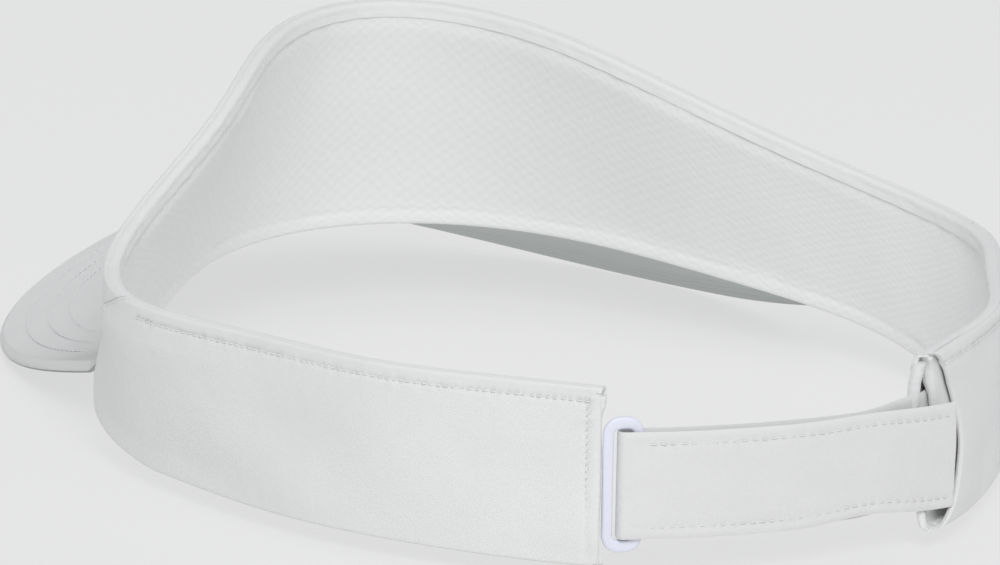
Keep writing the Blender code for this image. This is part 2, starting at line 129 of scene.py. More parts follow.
def even_curve(values):
    """Smooth closed curve through values at even steps from 0 to 180 degrees, mirrored."""
    orders = np.arange(len(values))
    angles = np.linspace(0.0, math.pi, len(values))
    weights = np.linalg.solve(np.cos(np.outer(angles, orders)), np.array(values))
    return lambda angle: np.cos(np.multiply.outer(angle, orders)) @ weights


bottom_radius = even_curve(BOTTOM_RADIUS)
top_lean = even_curve(TOP_LEAN)


def edge_heights(degrees):
    forward = np.maximum(np.cos(np.radians(degrees)), 0.0)
    return FRONT_BOTTOM_RISE * forward ** 1.25, BAND_HEIGHT + FRONT_TOP_RISE * forward ** 2


def plan_point(degrees, across):
    angle = np.radians(degrees)
    radius = bottom_radius(angle) + across * top_lean(angle)
    return np.stack((radius * np.sin(angle), -radius * np.cos(angle)), axis=-1)


def plan_normal(degrees, across):
    ahead = plan_point(degrees + 0.5, across) - plan_point(degrees - 0.5, across)
    ahead /= np.linalg.norm(ahead, axis=-1, keepdims=True)
    return np.stack((ahead[..., 1], -ahead[..., 0]), axis=-1)


def band_point(degrees, across, depth, rise=0.0):
    """Points on the band; across is 0 at the bottom edge and 1 at the top, depth goes inwards."""
    degrees, across, depth, rise = np.broadcast_arrays(*(np.asarray(v, float) for v in
                                                         (degrees, across, depth, rise)))
    bottom, top = edge_heights(degrees)
    plan = plan_point(degrees, across) - depth[..., None] * plan_normal(degrees, across)
    return np.concatenate((plan, (bottom + across * (top - bottom) + rise)[..., None]), axis=-1)


TRAVEL_DEGREES = np.linspace(-180.0, 180.0, 1441)
_steps = np.linalg.norm(np.diff(plan_point(TRAVEL_DEGREES, 0.5), axis=0), axis=1)
TRAVEL = np.concatenate(([0.0], np.cumsum(_steps)))


def travel(degrees):
    """Distance round the band, from the back centre, at an angle."""
    return np.interp(degrees, TRAVEL_DEGREES, TRAVEL)


def angle_at(distance):
    return np.interp(distance, TRAVEL, TRAVEL_DEGREES)


def ease(t):
    t = np.clip(t, 0.0, 1.0)
    return t * t * (3.0 - 2.0 * t)


def pocket_flare(degrees, share=0.5):
    """0 along the band, 1 where the right end opens into the tail pocket.

    share is the height up the band, and the opening is pinched at both edges.
    """
    opening = np.sin(math.pi * np.clip(share, 0.0, 1.0)) ** 0.6
    return ease((FLARE_START - degrees) / (FLARE_START - FLARE_FULL)) * opening


def seam_angle(across):
    return SEAM_BOTTOM + across ** 2 * (SEAM_TOP - SEAM_BOTTOM)


def left_end_angle(across):
    return np.full_like(across, LEFT_END)


def right_end_angle(across):
    """The pocket mouth: full length at the edges and cut back between them."""
    return RIGHT_END + POCKET_SCOOP * np.sqrt(np.clip(np.sin(math.pi * across), 0.0, 1.0))


def ripple(u, v, wavelength, seed, waves=9):
    """Smooth, gentle unevenness of about unit height over a cloth, the same on every run."""
    rng = np.random.default_rng(seed)
    total = 0.0
    for _ in range(waves):
        heading, phase = rng.uniform(0.0, 2.0 * math.pi, 2)
        turns = (u * math.cos(heading) + v * math.sin(heading)) / (wavelength * rng.uniform(0.7, 1.8))
        total = total + np.cos(2.0 * math.pi * turns + phase)
    return total / math.sqrt(waves)


# ---------------------------------------------------------------- materials

def new_material(name, color, roughness):
    material = bpy.data.materials.new(name)
    material.use_nodes = True
    shader = material.node_tree.nodes["Principled BSDF"]
    shader.inputs["Base Color"].default_value = (*color, 1.0)
    shader.inputs["Roughness"].default_value = roughness
    return material, material.node_tree, shader


def maths(tree, operation, first, second=None):
    """Socket of a math node; a plain number or another socket can go in."""
    made = tree.nodes.new("ShaderNodeMath")
    made.operation = operation
    for slot, value in zip(made.inputs, (first, second)):
        if isinstance(value, (int, float)):
            slot.default_value = value
        elif value is not None:
            tree.links.new(value, slot)
    return made.outputs[0]


def noise(tree, place, scale, detail=2.0):
    made = tree.nodes.new("ShaderNodeTexNoise")
    made.inputs["Scale"].default_value = scale
    made.inputs["Detail"].default_value = detail
    tree.links.new(place, made.inputs["Vector"])
    return made.outputs["Fac"]


def cloth_place(tree):
    """Sockets of the cloth's own coordinates in millimetres, and of the object's in metres."""
    uv = tree.nodes.new("ShaderNodeUVMap")
    parts = tree.nodes.new("ShaderNodeSeparateXYZ")
    tree.links.new(uv.outputs["UV"], parts.inputs["Vector"])
    place = tree.nodes.new("ShaderNodeTexCoord")
    return parts.outputs["X"], parts.outputs["Y"], uv.outputs["UV"], place.outputs["Object"]


def wave(tree, coordinate, pitch):
    return maths(tree, "SINE", maths(tree, "MULTIPLY", coordinate, 2.0 * math.pi / pitch))


def bump(tree, height, depth_mm, after=None):
    made = tree.nodes.new("ShaderNodeBump")
    made.inputs["Distance"].default_value = depth_mm * MM
    tree.links.new(height, made.inputs["Height"])
    if after is not None:
        tree.links.new(after, made.inputs["Normal"])
    return made.outputs["Normal"]


def tint(tree, shader, color, variation, amount):
    """Vary the colour round its mean by up to amount, following variation from 0 to 1."""
    mix = tree.nodes.new("ShaderNodeMix")
    mix.data_type = "RGBA"
    tree.links.new(variation, mix.inputs["Factor"])
    mix.inputs["A"].default_value = (*[c * (1.0 - amount) for c in color], 1.0)
    mix.inputs["B"].default_value = (*[min(c * (1.0 + amount), 1.0) for c in color], 1.0)
    tree.links.new(mix.outputs["Result"], shader.inputs["Base Color"])


def woven(name, color, pitch=0.42, depth=0.035):
    """Plain-woven cloth: crossing yarns, a soft nap and faint mottling."""
    material, tree, shader = new_material(name, color, 0.88)
    u, v, plane, place = cloth_place(tree)
    yarns = maths(tree, "MULTIPLY", wave(tree, u, pitch), wave(tree, v, pitch))
    slub = noise(tree, plane, 1.9, 3.0)
    height = maths(tree, "ADD", maths(tree, "MULTIPLY", yarns, 0.5), slub)
    soft = bump(tree, noise(tree, place, 170.0, 3.0), 0.22)
    tree.links.new(bump(tree, height, depth, soft), shader.inputs["Normal"])
    mottling = maths(tree, "MULTIPLY", noise(tree, place, 60.0), 0.5)
    tint(tree, shader, color, maths(tree, "ADD", maths(tree, "MULTIPLY", slub, 0.5), mottling), 0.05)
    shader.inputs["Sheen Weight"].default_value = 0.25
    shader.inputs["Sheen Roughness"].default_value = 0.45
    shader.inputs["Specular IOR Level"].default_value = 0.3
    return material


KNIT_DASH = 3.0                  # repeat of the knit's dashes along a row, and of its rows
KNIT_COURSE = 1.5


def pique(name, color):
    """Knitted lining: short raised dashes in offset rows, a little uneven."""
    material, tree, shader = new_material(name, color, 0.92)
    u, v, plane, place = cloth_place(tree)
    sway = maths(tree, "MULTIPLY", maths(tree, "SUBTRACT", noise(tree, plane, 0.35), 0.5), 1.6)
    dashes = maths(tree, "MULTIPLY", wave(tree, maths(tree, "ADD", u, sway), KNIT_DASH),
                   wave(tree, maths(tree, "ADD", v, sway), KNIT_COURSE))
    grain = maths(tree, "MULTIPLY", noise(tree, plane, 1.3, 2.0), 0.9)
    height = maths(tree, "ADD", maths(tree, "MULTIPLY", dashes, 0.6), grain)
    soft = bump(tree, noise(tree, place, 120.0, 2.0), 0.15)
    tree.links.new(bump(tree, height, 0.036, soft), shader.inputs["Normal"])
    # Painted shade: the knit's colour is darker in the hollows between the raised dashes and lighter on
    # them.
    shade = maths(tree, "ADD", maths(tree, "MULTIPLY", dashes, 0.45), 0.5)
    tint(tree, shader, color, shade, 0.022)
    shader.inputs["Sheen Weight"].default_value = 0.3
    shader.inputs["Sheen Roughness"].default_value = 0.5
    shader.inputs["Specular IOR Level"].default_value = 0.2
    return material


def napped(name, color):
    """Brushed or hooked pad of the closure."""
    material, tree, shader = new_material(name, color, 0.95)
    _, _, plane, place = cloth_place(tree)
    fibres = noise(tree, plane, 6.0, 4.0)
    tree.links.new(bump(tree, fibres, 0.25), shader.inputs["Normal"])
    tint(tree, shader, color, noise(tree, place, 400.0), 0.08)
    shader.inputs["Sheen Weight"].default_value = 0.5
    return material


def twisted_thread(name, color):
    """Sewing thread whose plies show as fine slanting ridges."""
    material, tree, shader = new_material(name, color, 0.55)
    u, v, _, _ = cloth_place(tree)
    plies = wave(tree, maths(tree, "ADD", u, maths(tree, "MULTIPLY", v, 0.35)), 0.3)
    tree.links.new(bump(tree, plies, 0.03), shader.inputs["Normal"])
    # Painted shade: the thread's colour is darker between the ply ridges and lighter on them.
    tint(tree, shader, color, plies, 0.03)
    shader.inputs["Sheen Weight"].default_value = 0.2
    return material


def moulded(name, color):
    """Satin moulded plastic with a faint orange-peel surface."""
    material, tree, shader = new_material(name, color, 0.38)
    place = tree.nodes.new("ShaderNodeTexCoord").outputs["Object"]
    peel = noise(tree, place, 900.0, 2.0)
    tree.links.new(bump(tree, peel, 0.012), shader.inputs["Normal"])
    tint(tree, shader, color, noise(tree, place, 90.0), 0.01)
    rough = maths(tree, "ADD", maths(tree, "MULTIPLY", peel, 0.12), 0.3)
    tree.links.new(rough, shader.inputs["Roughness"])
    shader.inputs["Subsurface Weight"].default_value = 0.15
    shader.inputs["Subsurface Radius"].default_value = (0.001, 0.001, 0.0012)
    return material


SHELL_CLOTH = woven("shell_cloth", (0.80, 0.803, 0.797))
BINDING_CLOTH = woven("binding", (0.82, 0.823, 0.817), 0.36, 0.03)
LINING_CLOTH = pique("lining_knit", (0.81, 0.812, 0.81))
# The brim's underside is the same white cloth as the shell; its grey colour is painted shade, for an
# underside that is only seen in shadow.
SHADED_UNDER_CLOTH = woven("brim_under_cloth", (0.46, 0.485, 0.48))
STRAP_CLOTH = woven("strap_tape", (0.77, 0.77, 0.765), 0.40, 0.03)
PILE = napped("pile_pad", (0.80, 0.80, 0.80))
HOOK = napped("hook_pad", (0.78, 0.78, 0.785))
THREAD = twisted_thread("thread", (0.84, 0.84, 0.845))
PLASTIC = moulded("loop_plastic", (0.80, 0.81, 0.92))


# ---------------------------------------------------------------- mesh builders

def mesh_object(name, points, faces, uvs, material):
    """Mesh from points in millimetres; uvs holds the cloth coordinates of each face's corners."""
    data = bpy.data.meshes.new(name)
    data.from_pydata(((points + SHIFT) * MM).tolist(), [], faces)
    layer = data.uv_layers.new(name="UVMap")
    layer.data.foreach_set("uv", np.asarray(uvs, np.float32).ravel())
    mesh = bmesh.new()
    mesh.from_mesh(data)
    bmesh.ops.recalc_face_normals(mesh, faces=mesh.faces)
    mesh.to_mesh(data)
    mesh.free()
    data.shade_smooth()
    data.set_sharp_from_angle(angle=math.radians(SHARP_ANGLE))
    data.materials.append(material)
    item = bpy.data.objects.new(name, data)
    bpy.context.scene.collection.objects.link(item)
    return item


def tube(name, rings, along, round_, material, closed=False):
    """Solid skin through closed rings (columns, ring points, 3), with its ends filled.

    along and round_ give the cloth coordinates of the columns and of the ring points.
    """
    columns, size = rings.shape[:2]
    faces, uvs = [], []
    along = np.broadcast_to(np.asarray(along, float).reshape(columns, -1), (columns, size))
    turn = np.concatenate((round_, [round_[-1] + 0.5]))
    last = columns if closed else columns - 1
    for i in range(last):
        j = (i + 1) % columns
        for k in range(size):
            n = (k + 1) % size
            faces.append((i * size + k, i * size + n, j * size + n, j * size + k))
            ahead = along[j] if j else along[i] + 1.0
            uvs += [(along[i][k], turn[k]), (along[i][n], turn[k + 1]), (ahead[n], turn[k + 1]),
                    (ahead[k], turn[k])]
    if not closed:
        for i in (0, columns - 1):
            for k in range(size // 2 - 1):
                corners = (k, k + 1, size - 2 - k, size - 1 - k)
                faces.append(tuple(i * size + c for c in corners))
                uvs += [(along[i][c], turn[c]) for c in corners]
    return mesh_object(name, rings.reshape(-1, 3), faces, uvs, material)


def stations(length, step, ease_over=1.6):
    """Distances from 0 to length: closely spaced at both ends, about step apart between."""
    ends = ease_over * np.linspace(0.0, 1.0, int(ease_over / END_STEP / 2) + 1) ** 1.6
    count = max(int(round((length - 2 * ease_over) / step)), 2)
    middle = np.linspace(ease_over, length - ease_over, count + 1)[1:-1]
    return np.concatenate((ends, middle, length - ends[::-1]))


def stitches(name, points, normals, pitch, length, radius, seed, slant=0.0):
    """A row of single stitches along a line: each rises from the cloth and dives back in."""
    steps = np.linalg.norm(np.diff(points, axis=0), axis=1)
    run = np.concatenate(([0.0], np.cumsum(steps)))
    count = max(int(run[-1] / pitch), 1)
    rng = np.random.default_rng(seed)
    sides, parts = 6, 7
    shape = np.linspace(0.0, 1.0, parts)
    height = STITCH_LIFT * np.sin(math.pi * shape) - radius * 1.2 * (2 * shape - 1) ** 4
    girth = radius * (1.0 - 0.55 * (2 * shape - 1) ** 4)
    turn = np.linspace(0.0, 2.0 * math.pi, sides, endpoint=False)
    all_points, faces, uvs = [], [], []
    for i in range(count):
        start = (i + 0.5) * run[-1] / count - length / 2 + rng.normal(0.0, 0.04 * pitch)
        s = np.clip(start + shape * length * rng.uniform(0.94, 1.05), 0.0, run[-1])
        place = np.stack([np.interp(s, run, points[:, k]) for k in range(3)], axis=1)
        up = np.stack([np.interp(s, run, normals[:, k]) for k in range(3)], axis=1)
        up /= np.linalg.norm(up, axis=1, keepdims=True)
        ahead = np.gradient(place, axis=0)
        ahead /= np.maximum(np.linalg.norm(ahead, axis=1, keepdims=True), 1e-9)
        side = np.cross(ahead, up)
        side /= np.maximum(np.linalg.norm(side, axis=1, keepdims=True), 1e-9)
        tilt = (slant + rng.normal(0.0, 0.03)) * (shape - 0.5)[:, None]
        place = place + up * height[:, None] + side * tilt * length
        base = len(all_points) * parts * sides
        spokes = (np.cos(turn)[None, :, None] * side[:, None, :]
                  + np.sin(turn)[None, :, None] * up[:, None, :])
        ring = place[:, None, :] + girth[:, None, None] * spokes
        all_points.append(ring.reshape(-1, 3))
        for p in range(parts - 1):
            for k in range(sides):
                n = (k + 1) % sides
                faces.append((base + p * sides + k, base + p * sides + n, base + (p + 1) * sides + n,
                              base + (p + 1) * sides + k))
                uvs += [(s[p], k * 0.1), (s[p], (k + 1) * 0.1), (s[p + 1], (k + 1) * 0.1),
                        (s[p + 1], k * 0.1)]
        for p in (0, parts - 1):
            faces.append(tuple(base + p * sides + k for k in range(sides)))
            uvs += [(s[p], k * 0.1) for k in range(sides)]
    item = mesh_object(name, np.concatenate(all_points), faces, uvs, THREAD)
    return item


def finish_piece(item, body, slot_name, *nodes):
    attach(item, body)
    if nodes:
        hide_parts(*nodes)
    return item


# ---------------------------------------------------------------- band: sections and puckers

def arc(centre_depth, centre_rise, radius, first, last, count):
    """(rise, depth) points round a turned edge; 180 degrees faces out and 90 faces up."""
    angles = np.radians(np.linspace(first, last, count))
    return [(centre_rise + radius * math.sin(a), centre_depth + radius * math.cos(a)) for a in angles]


def side_path(inset):
    """Path of a shell panel's skin, inset from its outer face, with both edges turned in.

    Points are (across, rise, depth), from inside the bottom roll up over the top roll.
    """
    radius = OUTER_ROLL - inset
    low_step, high_step = 0.5, 0.35
    low, high = OUTER_ROLL + 7 * low_step, -OUTER_ROLL - 18 * high_step
    low_turn = arc(OUTER_ROLL, OUTER_ROLL, radius, 360.0 - TURN_IN, 180.0, 8)
    high_turn = arc(OUTER_ROLL, -OUTER_ROLL, radius, 180.0, TURN_IN, 8)
    path = [(0.0, rise, depth) for rise, depth in low_turn]
    path += [(0.0, OUTER_ROLL + low_step * k, inset) for k in range(1, 7)]
    path += [(t, low * (1.0 - t) + high * t, inset) for t in np.linspace(0.0, 1.0, 14)]
    path += [(1.0, high + high_step * k, inset) for k in range(1, 18)]
    path += [(1.0, rise, depth) for rise, depth in high_turn]
    return path


def ring_of(outer_path, inner_path):
    """Closed section from two matching paths, and the distance run along it."""
    ring = np.array(outer_path + inner_path[::-1])
    drop = ring[:, 0] * BAND_HEIGHT + ring[:, 1]
    run = np.concatenate(([0.0], np.cumsum(np.hypot(np.diff(drop), np.diff(ring[:, 2])))))
    half = len(outer_path)
    run[half:] = run[:half][::-1]
    return ring, run


def from_top(ring, degrees):
    """How far each point lies below the band's top edge and above its bottom edge."""
    bottom, top = edge_heights(degrees)
    height = ring[:, 0] * (top - bottom) + ring[:, 1]
    return (top - bottom) - height, height


def round_end(depth, distance, radius):
    """Close a sheet's end as a round bead: outer and inner faces meet at the bead's middle.

    The second half of each ring is the inner face, in reverse order.
    """
    half = depth.shape[1] // 2
    outer, inner = depth[:, :half], depth[:, half:][:, ::-1]
    near = np.broadcast_to(distance, depth.shape)[:, :half]
    open_ = np.sqrt(np.clip(1.0 - np.clip(1.0 - near / radius, 0.0, 1.0) ** 2, 0.0, 1.0))
    swell = ease((3.2 * radius - near) / (1.6 * radius))
    swollen = inner + (outer + radius * (1.0 + open_) - inner) * swell
    outer = outer + radius * (1.0 - open_)
    return np.concatenate((outer, swollen[:, ::-1]), axis=1)


def lip(share):
    """0 up most of the band's height and 1 near its top, where the inner beads are fatter."""
    return ease((share - LIP_START) / LIP_BLEND)


def sewn_row(distance, run, pitch, seed, groove=0.28, pull=0.2):
    """Depth added near a stitch row: a groove that tightens at each stitch, and puckers beside it."""
    beat = np.cos(2.0 * math.pi * run / pitch)
    line = groove * np.exp(-(distance / GROOVE_WIDTH) ** 2) * (0.8 - 0.3 * beat)
    near = np.exp(-(distance / PUCKER_WIDTH) ** 2)
    uneven = ripple(run, distance * 0.35, pitch * 1.5, seed, waves=7)
    cupped = beat * np.sign(-distance - 0.2)
    return line - pull * near * (0.18 * cupped + 0.5 * uneven)


def panel(name, start, end, replaced, seed, step=COLUMN, flare=0.0, rows=(), end_bead=0.0):
    """Shell panel swept round the band between start(across) and end(across) degrees.

    Each of its sewn rows is (kind, distance from that edge, pitch, span along the row, seed).
    """
    ring, round_ = ring_of(side_path(0.0), side_path(SHELL))
    across = ring[:, 0]
    share = np.clip(across + ring[:, 1] / (BAND_HEIGHT + 2.0), 0.0, 1.0)
    first, last = travel(start(share)), travel(end(share))
    longest = float(np.max(np.abs(last - first)))
    t = stations(longest, step)[:, None] / longest
    run = first + t * (last - first)
    degrees = angle_at(run)
    below, above = from_top(ring, degrees)
    depth = ring[:, 2] + flare * pocket_flare(degrees, share)
    to_start, to_end = np.abs(run - first), np.abs(last - run)
    depth = depth + SEAM_DIP * np.clip(1.0 - to_start / SEAM_DIP_WIDTH, 0.0, 1.0) ** 2
    if end_bead:
        depth = round_end(depth, to_end, end_bead)
    else:
        depth = depth + SEAM_DIP * np.clip(1.0 - to_end / SEAM_DIP_WIDTH, 0.0, 1.0) ** 2
    edges = {"top": (below, run), "start": (to_start, above), "end": (to_end, above)}
    for kind, place, pitch, span, row_seed in rows:
        from_edge, along = edges[kind]
        distance = from_edge - place
        within = ease((along - span[0]) / 2.0) * ease((span[1] - along) / 2.0)
        depth = depth + within * sewn_row(distance, along, pitch, row_seed)
    calm = ease(below / 6.0) * ease(above / 5.0)
    depth = depth + calm * 0.2 * ripple(run, above * 1.5, 24.0, seed)
    points = band_point(degrees, across, depth, ring[:, 1])
    item = tube(name, points, run, round_, SHELL_CLOTH)
    return finish_piece(item, "crown", "shell_cloth", *replaced)


def make_band():
    def left_seam(shift):
        return lambda across: seam_angle(across) + shift

    def right_seam(shift):
        return lambda across: -seam_angle(across) - shift

    panel("front_panel", right_seam(-SEAM_GAP), left_seam(-SEAM_GAP),
          ("front_panel_outer", "front_stiffener"), seed=11, step=1.3)
    left_rows = [("top", HEM_ROW, HEM_PITCH, (travel(90.0), travel(158.4)), 21),
                 ("start", SEAM_ROW, SEAM_PITCH, (1.0, 60.0), 22),
                 ("end", END_ROW, END_PITCH, (1.0, BAND_HEIGHT), 23)]
    panel("left_side_panel", left_seam(SEAM_GAP), left_end_angle,
          ("left_side_outer", "left_interlining", "loop_flange"), seed=12, rows=left_rows,
          end_bead=LEFT_BEAD)
    right_rows = [("top", HEM_ROW, HEM_PITCH, (travel(-156.0), travel(-90.0)), 31),
                  ("start", SEAM_ROW, SEAM_PITCH, (1.0, 60.0), 32)]
    panel("right_side_panel", right_seam(SEAM_GAP), right_end_angle,
          ("right_side_outer", "right_interlining", "right_end_stitch"), seed=13, flare=-OUTER_FLARE,
          rows=right_rows, end_bead=MOUTH_BEAD)


FACING_DEPTH = 1.5
FACING_SHEET = 0.4
FACING_BEAD = 0.75
FACING_LIP = 0.55
FACING_FOLLOW = 0.3              # its edge follows this share of the mouth's scoop
FACING_FLARE = 0.35              # and this share of the mouth's flare
FACING_INNER_END = -147.0


def make_facing():
    """Pocket facing, whose folded edge shows between the lining's end and the pocket mouth."""
    rows = np.linspace(0.0, 1.0, 26)
    low, high = 0.12, 0.985
    outer = [(low + (high - low) * t, 0.0, FACING_DEPTH) for t in rows]
    inner = [(a, rise, depth + FACING_SHEET) for a, rise, depth in outer]
    ring, round_ = ring_of(outer, inner)
    across = ring[:, 0]
    start = travel(RIGHT_END + FACING_FOLLOW * (right_end_angle(across) - RIGHT_END))
    end = travel(FACING_INNER_END)
    length = float(np.max(end - start))
    t = stations(length, 0.8)[:, None] / length
    run = start + t * (end - start)
    depth = ring[:, 2] + 0.12 * ripple(run, across * 40.0, 9.0, 45)
    depth = round_end(depth, run - start, FACING_BEAD + FACING_LIP * lip(across[:len(rows)]))
    degrees = angle_at(run)
    depth = depth - FACING_FLARE * OUTER_FLARE * pocket_flare(degrees, across)
    points = band_point(degrees, across, depth, ring[:, 1])
    item = tube("pocket_facing", points, run, round_, SHELL_CLOTH)
    finish_piece(item, "crown", "shell_cloth", "right_end_facing")


def sweep_ring(ring, first, last, step, shaping, bead):
    """Points of an inner section swept round the band between two angles, and their travel.

    last is one angle, or one for each point of the section.
    """
    start, end = travel(first), travel(last)
    length = float(np.max(end - start))
    run = start + stations(length, step)[:, None] / length * (end - start)
    degrees = angle_at(run)
    below, above = from_top(ring, degrees)
    opening = pocket_flare(degrees, above / (above + below))
    depth = ring[:, 2] + LINING_FLARE * opening + shaping(run, below, above)
    distance = np.minimum(run - start, end - run)
    depth = -round_end(-depth, distance, bead)
    return band_point(degrees, ring[:, 0], depth, ring[:, 1]), run


def make_lining():
    """Knitted lining from under the binding down to its rolled lower edge."""
    def path(inset):
        face = LINING_FACE - inset
        radius = LINING_ROLL - inset
        centre = LINING_FACE - LINING_ROLL
        points = [(1.0, -1.6 - 0.5 * k, face) for k in range(8)]
        points += [(t, -5.6 * t + (1.0 - t) * (LINING_ROLL + 3.6), face) for t in np.linspace(1.0, 0.0, 26)]
        points += [(0.0, LINING_ROLL + 0.4 * k, face) for k in range(8, 0, -1)]
        points += [(0.0, rise, depth) for rise, depth in arc(centre, LINING_ROLL, radius, 0.0, -165.0, 12)]
        return points

    ring, round_ = ring_of(path(0.0), path(KNIT))

    def shaping(run, below, above):
        sag = 0.22 * ripple(run, above * 1.3, 30.0, 41) * ease(above / 8.0) * ease(below / 8.0)
        hem = -0.32 * np.exp(-((above - 3.0) / 0.7) ** 2) * (0.8 + 0.25 * ripple(run, above, 5.0, 42))
        tuck = -0.08 * np.exp(-((below - BINDING_DROP - 0.5) / 0.6) ** 2)
        return sag + hem + tuck

    bead = LINING_BEAD + LINING_LIP * lip(ring[:len(ring) // 2, 0])
    share = np.clip(ring[:, 0] + ring[:, 1] / BAND_HEIGHT, 0.0, 1.0)
    beside_loop = ease((share - 0.02) / 0.06) * ease((0.92 - share) / 0.12)
    left_end = LEFT_END + LINING_PAST_LEFT - LINING_LOOP_CUT * beside_loop
    points, run = sweep_ring(ring, RIGHT_END - LINING_PAST_RIGHT, left_end, 1.1, shaping, bead)
    item = tube("lining", points, run, round_, LINING_CLOTH)
    finish_piece(item, "crown", "lining_knit", "band_lining")


def make_binding():
    """Rolled tape along the top edge, with a sewn line down its inner face."""
    centre = BINDING_FACE - BINDING_HALF

    def path(inset):
        points = []
        for angle in np.radians(np.linspace(176.0, 0.0, 15)):
            points.append((1.0, (BINDING_ROLL - inset) * math.sin(angle) - BINDING_ROLL,
                           centre + (BINDING_HALF - inset) * math.cos(angle)))
        points += [(1.0, -BINDING_ROLL - 0.22 * k, BINDING_FACE - inset) for k in range(1, 11)]
        points += [(1.0, -BINDING_DROP + 0.25 - inset * 0.4, BINDING_FACE - 0.12 - inset * 0.75),
                   (1.0, -BINDING_DROP, BINDING_FACE - 0.3 - inset * 0.3)]
        return points

    ring, round_ = ring_of(path(0.0), path(BINDING_SHEET))

    def shaping(run, below, above):
        line = -0.06 * np.exp(-((below - 1.75) / 0.3) ** 2)
        return line + 0.06 * ripple(run, below * 2.0, 6.0, 51) * ease(below)

    points, run = sweep_ring(ring, RIGHT_END - BINDING_PAST_RIGHT, LEFT_END + BINDING_PAST_LEFT, 0.9,
                             shaping, BINDING_BEAD)
    item = tube("binding", points, run, round_, BINDING_CLOTH)
    finish_piece(item, "crown", "binding", "top_binding")


def outward_from(degrees, across):
    return np.concatenate((plan_normal(degrees, across), np.zeros((len(degrees), 1))), axis=1)


def hem_row(name, first, last, flare, node, seed):
    """Stitches along a side panel, a fixed distance below its top edge."""
    degrees = angle_at(np.linspace(float(travel(first)), float(travel(last)), 400))
    depth = STITCH_SUNK + flare * pocket_flare(degrees, HEM_SHARE)
    points = band_point(degrees, 1.0, depth, -HEM_ROW)
    item = stitches(name, points, outward_from(degrees, 1.0), HEM_PITCH, 1.15, 0.13, seed)
    finish_piece(item, "crown", "thread", node)


def upright_row(name, angles, across, pitch, length, radius, nodes, seed, slant=0.0):
    """Stitches up the band, at an angle for each step across."""
    points = band_point(angles, across, STITCH_SUNK)
    item = stitches(name, points, outward_from(angles, across), pitch, length, radius, seed, slant)
    finish_piece(item, "crown", "thread", *nodes)


def make_band_stitches():
    hem_row("left_hem_stitches", 89.5, 158.2, 0.0, "left_top_stitch", 61)
    hem_row("right_hem_stitches", -155.5, -89.5, -OUTER_FLARE, "right_top_stitch", 62)
    across = np.linspace(0.03, 0.9, 120)
    for side, sign, seed in (("left", 1.0, 63), ("right", -1.0, 64)):
        angles = angle_at(travel(sign * seam_angle(across)) + sign * SEAM_ROW)
        upright_row(side + "_seam_stitches", angles, across, SEAM_PITCH, 1.3, 0.13,
                    (side + "_seam_stitch",), seed)
    across = np.linspace(0.04, 0.95, 120)
    angles = angle_at(travel(left_end_angle(across)) - END_ROW)
    upright_row("left_end_stitches", angles, across, END_PITCH, 1.0, 0.14,
                ("left_end_stitch", "flange_stitch"), 65, slant=0.35)


# ---------------------------------------------------------------- brim

BRIM_END = 60.5
BRIM_REACH = 55.9
BRIM_FULLNESS = 1.93
BRIM_WIDENING = 20.3
BRIM_SLOPE = 0.173
BRIM_ARCH = 0.40                 # the outline's fall per millimetre sideways, away from the middle
BRIM_CREST = 28.2                # size of the rounded middle the fall starts from
BRIM_LIFT = 2.6                  # the brim's top meets the front panel this far above its bottom edge
BRIM_EDGE_LIFT = 3.5
BRIM_SWEEP = 89.4                # the outline's ends run into the band
BRIM_END_RISE = 0.8              # the ends tuck up behind the band's edge by this
BRIM_ROW_INSETS = (8.0, 14.5, 21.0)
BRIM_ROW_PITCH = 2.3
BRIM_ROLL = 1.2                  # half the brim's thickness
BRIM_COVER = 0.45
BRIM_SEAM = 121.0                # the top cover ends at this angle round the edge, just under it


def brim_edge(t):
    corner = plan_point(BRIM_END, 0.0)
    phase = np.radians(BRIM_SWEEP) * t
    side, reach = np.sin(phase), np.cos(phase)
    front = bottom_radius(0.0)
    x = corner[0] * np.sign(side) * np.abs(side) ** (2.0 / BRIM_FULLNESS) + BRIM_WIDENING * side * reach
    y = corner[1] + (-front - BRIM_REACH - corner[1]) * reach ** (2.0 / BRIM_FULLNESS)
    fall = BRIM_ARCH * (np.hypot(x, BRIM_CREST) - BRIM_CREST)
    z = FRONT_BOTTOM_RISE + BRIM_EDGE_LIFT + BRIM_SLOPE * (front + y) - fall
    return np.stack((x, y, z), axis=-1)


def brim_lines(t):
    """For each t: root, outline, unit direction between them and length."""
    tuck = BRIM_END_RISE * ease((np.abs(t) - 0.72) / 0.28)
    root = band_point(BRIM_END * t, 0.0, -0.1, BRIM_LIFT + tuck)
    edge = brim_edge(t)
    edge[:, 2] += tuck
    length = np.linalg.norm(edge - root, axis=1, keepdims=True)
    return root, edge, (edge - root) / length, length


